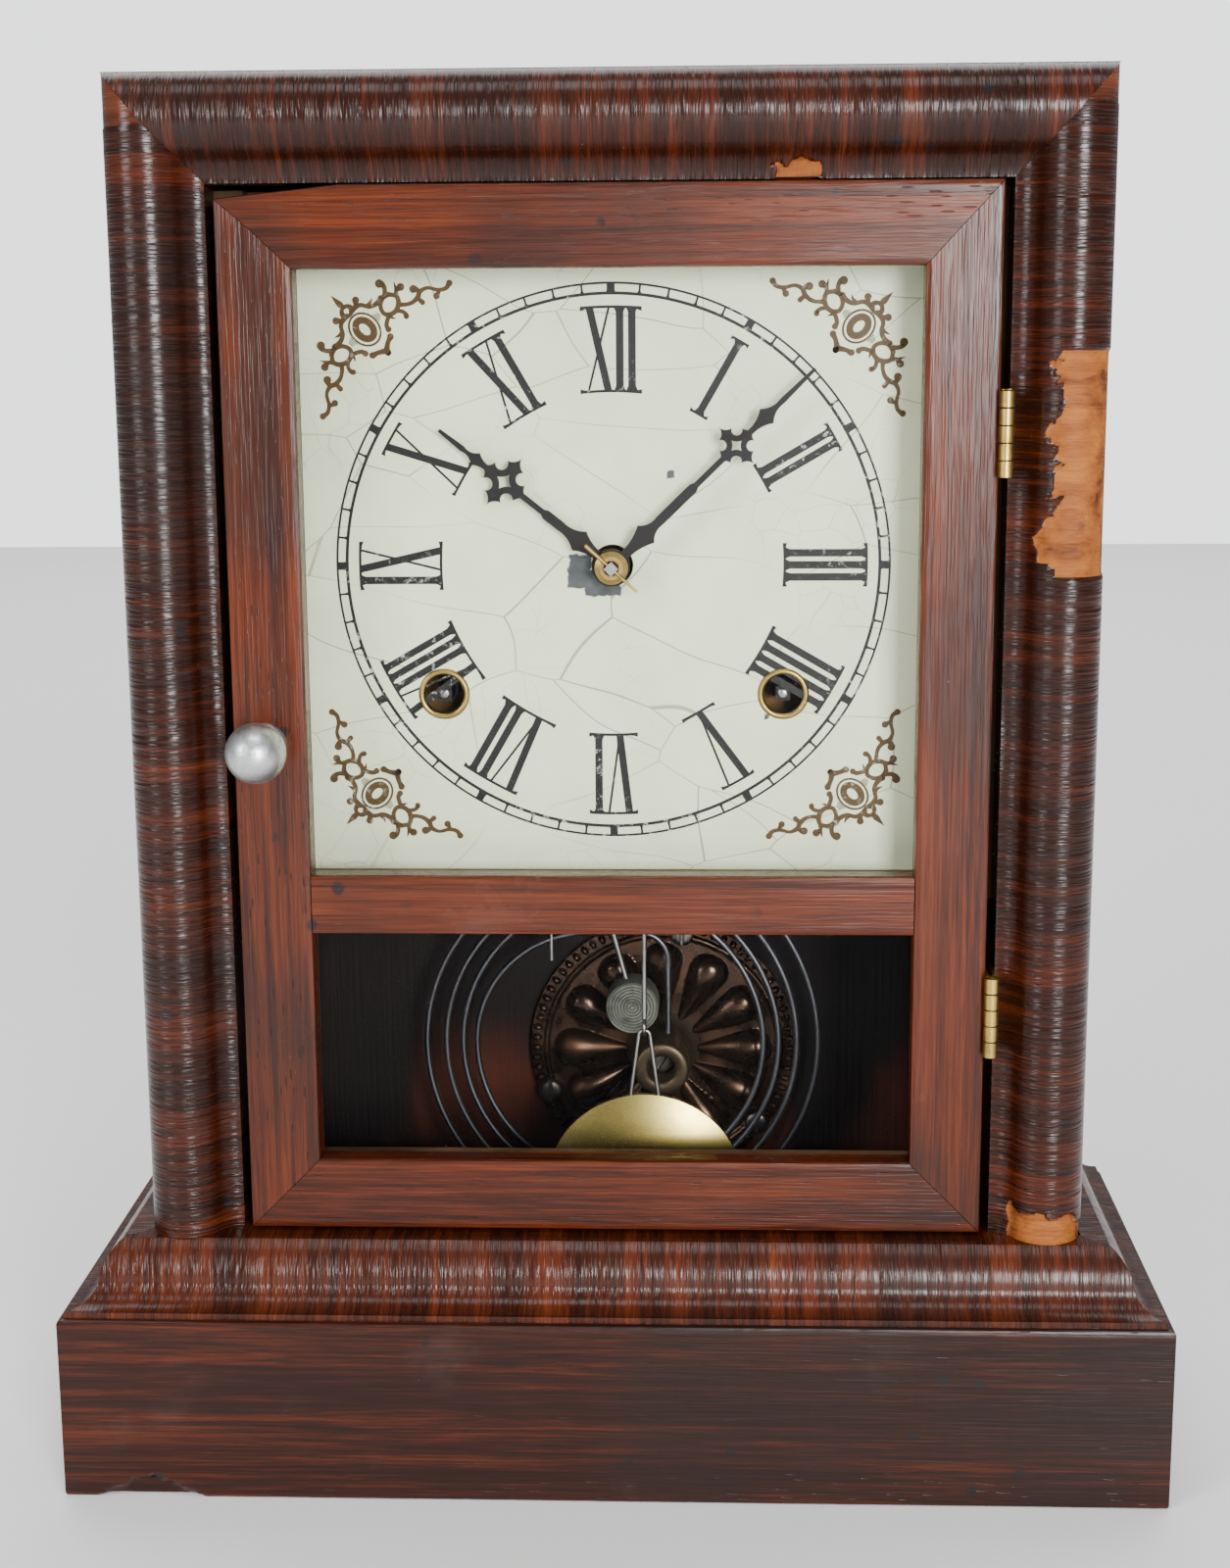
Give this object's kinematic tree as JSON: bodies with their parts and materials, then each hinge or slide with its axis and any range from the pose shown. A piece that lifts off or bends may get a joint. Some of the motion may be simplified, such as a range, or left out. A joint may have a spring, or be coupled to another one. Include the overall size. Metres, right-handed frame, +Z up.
{
  "type": "shelf clock",
  "caption": "Flat-topped cottage shelf clock: glazed door, painted dial, eight-day spring movement, short pendulum and wire gong.",
  "frame": {"origin": "on the floor, under the middle of the base", "axes": "X to the right seen from the front, Y to the rear, Z up"},
  "size_m": [0.283, 0.112, 0.356],
  "materials": {
    "rosewood": "dark rosewood veneer under old shellac",
    "pine": "raw pine, browned with age",
    "dial_paint": "cream paint on sheet zinc, finely crazed",
    "glass": "clear window glass",
    "brass": "lacquered sheet brass, slightly dull",
    "aged_brass": "dark aged brass",
    "steel": "plain steel wire and arbors",
    "blued_steel": "blackened steel",
    "cast_iron": "bronzed cast iron",
    "knob_metal": "satin white metal"
  },
  "bodies": {
    "case": {"plinth_front": "rosewood", "plinth_left": "rosewood", "plinth_right": "rosewood", "plinth_deck": "pine", "base_moulding_front": "rosewood", "base_moulding_left": "rosewood", "base_moulding_right": "rosewood", "case_side_left": "rosewood", "case_side_right": "rosewood", "case_top": "rosewood", "backboard": "pine", "front_moulding_left": "rosewood", "front_moulding_right": "rosewood", "front_moulding_top": "rosewood", "dial_cleats": "pine", "dial_plate": "dial_paint", "winding_grommets": "brass", "hinge_case_leaves": "aged_brass", "movement_front_plate": "brass", "movement_back_plate": "brass", "movement_pillars": "steel", "movement_blocks": "pine", "suspension_post": "brass", "mainsprings": "steel", "gong_base": "cast_iron", "gong_coil": "steel"},
    "door": {"door_stile_left": "rosewood", "door_stile_right": "rosewood", "door_rail_top": "rosewood", "door_rail_middle": "rosewood", "door_rail_bottom": "rosewood", "upper_glass": "glass", "lower_glass": "glass", "glass_beads": "pine", "hinge_door_leaves": "aged_brass", "hinge_pins": "aged_brass", "door_knob": "knob_metal"},
    "minute": {"hand_arbor": "steel", "minute_hand": "blued_steel", "hand_collet": "brass", "hand_pin": "brass"},
    "hour": {"hour_wheel": "brass", "hour_hand": "blued_steel"},
    "motion": {"motion_wheel": "brass"},
    "time_main": {"time_main_wheel": "brass"},
    "time_winding": {"time_winding_arbor": "steel"},
    "second": {"second_wheel": "brass"},
    "centre": {"centre_wheel": "brass"},
    "fourth": {"fourth_wheel": "brass"},
    "escape": {"escape_wheel": "brass"},
    "verge_body": {"verge": "steel"},
    "pendulum": {"pendulum_rod": "steel", "pendulum_bob": "brass"},
    "strike_main": {"strike_main_wheel": "brass"},
    "strike_winding": {"strike_winding_arbor": "steel"},
    "pins": {"pin_wheel": "brass"},
    "locking": {"locking_wheel": "brass"},
    "fly_body": {"fly": "brass"},
    "hammer_body": {"hammer": "steel"},
    "lever": {"strike_lever": "steel"}
  },
  "joints": [
    {"name": "door_swing", "type": "hinge", "parent": "case", "child": "door", "pos_m": [0.09555, -0.0381, 0.197], "axis": [0, 0, 1], "range_deg": [0, 140]},
    {"name": "minute_spin", "type": "hinge", "parent": "case", "child": "minute", "pos_m": [0, 0, 0.2364], "axis": [0, 1, 0], "continuous": true},
    {"name": "hour_spin", "type": "hinge", "parent": "case", "child": "hour", "pos_m": [0, 0, 0.2364], "axis": [0, 1, 0], "continuous": true},
    {"name": "motion_spin", "type": "hinge", "parent": "case", "child": "motion", "pos_m": [-0.01358, 0, 0.22282], "axis": [0, 1, 0], "continuous": true},
    {"name": "fourth_spin", "type": "hinge", "parent": "case", "child": "fourth", "pos_m": [0.02206, 0, 0.24586], "axis": [0, 1, 0], "continuous": true},
    {"name": "escape_spin", "type": "hinge", "parent": "case", "child": "escape", "pos_m": [0.0075, 0, 0.261], "axis": [0, 1, 0], "continuous": true},
    {"name": "centre_spin", "type": "hinge", "parent": "case", "child": "centre", "pos_m": [0, 0, 0.2364], "axis": [0, 1, 0], "continuous": true},
    {"name": "second_spin", "type": "hinge", "parent": "case", "child": "second", "pos_m": [0.01999, 0, 0.21668], "axis": [0, 1, 0], "continuous": true},
    {"name": "time_main_spin", "type": "hinge", "parent": "case", "child": "time_main", "pos_m": [0.0435, 0, 0.2034], "axis": [0, 1, 0], "continuous": true},
    {"name": "time_winding", "type": "hinge", "parent": "time_main", "child": "time_winding", "pos_m": [0.0435, 0, 0.2034], "axis": [0, 1, 0], "continuous": true},
    {"name": "locking_spin", "type": "hinge", "parent": "case", "child": "locking", "pos_m": [-0.03767, 0, 0.24555], "axis": [0, 1, 0], "continuous": true},
    {"name": "pin_spin", "type": "hinge", "parent": "case", "child": "pins", "pos_m": [-0.04712, 0, 0.22919], "axis": [0, 1, 0], "continuous": true},
    {"name": "strike_main_spin", "type": "hinge", "parent": "case", "child": "strike_main", "pos_m": [-0.0435, 0, 0.2034], "axis": [0, 1, 0], "continuous": true},
    {"name": "strike_winding", "type": "hinge", "parent": "strike_main", "child": "strike_winding", "pos_m": [-0.0435, 0, 0.2034], "axis": [0, 1, 0], "continuous": true},
    {"name": "fly_spin", "type": "hinge", "parent": "case", "child": "fly_body", "pos_m": [-0.03486, 0, 0.26151], "axis": [0, 1, 0], "continuous": true},
    {"name": "pendulum_swing", "type": "hinge", "parent": "case", "child": "pendulum", "pos_m": [0.0075, -0.009, 0.278], "axis": [0, 1, 0], "range_deg": [-3.5, 3.5]},
    {"name": "verge_rock", "type": "hinge", "parent": "case", "child": "verge_body", "pos_m": [0.0075, -0.009, 0.278], "axis": [0, 1, 0], "range_deg": [-4, 4]},
    {"name": "hammer_swing", "type": "hinge", "parent": "case", "child": "hammer_body", "pos_m": [-0.018, 0, 0.187], "axis": [0, 1, 0], "range_deg": [-0.8, 12]},
    {"name": "lever_lift", "type": "hinge", "parent": "case", "child": "lever", "pos_m": [-0.024, 0, 0.179], "axis": [0, 1, 0], "range_deg": [-12, 0]}
  ],
  "couplings": [
    {"joint": "hour_spin", "follows": "minute_spin", "ratio": 0.083333},
    {"joint": "motion_spin", "follows": "minute_spin", "ratio": -0.33333},
    {"joint": "escape_spin", "follows": "fourth_spin", "ratio": -9},
    {"joint": "centre_spin", "follows": "fourth_spin", "ratio": -0.11111},
    {"joint": "second_spin", "follows": "fourth_spin", "ratio": 0.037037},
    {"joint": "time_main_spin", "follows": "fourth_spin", "ratio": -0.0046296},
    {"joint": "pin_spin", "follows": "locking_spin", "ratio": -0.125},
    {"joint": "strike_main_spin", "follows": "locking_spin", "ratio": 0.0096154},
    {"joint": "fly_spin", "follows": "locking_spin", "ratio": -8},
    {"joint": "verge_rock", "follows": "pendulum_swing", "ratio": 1}
  ]
}
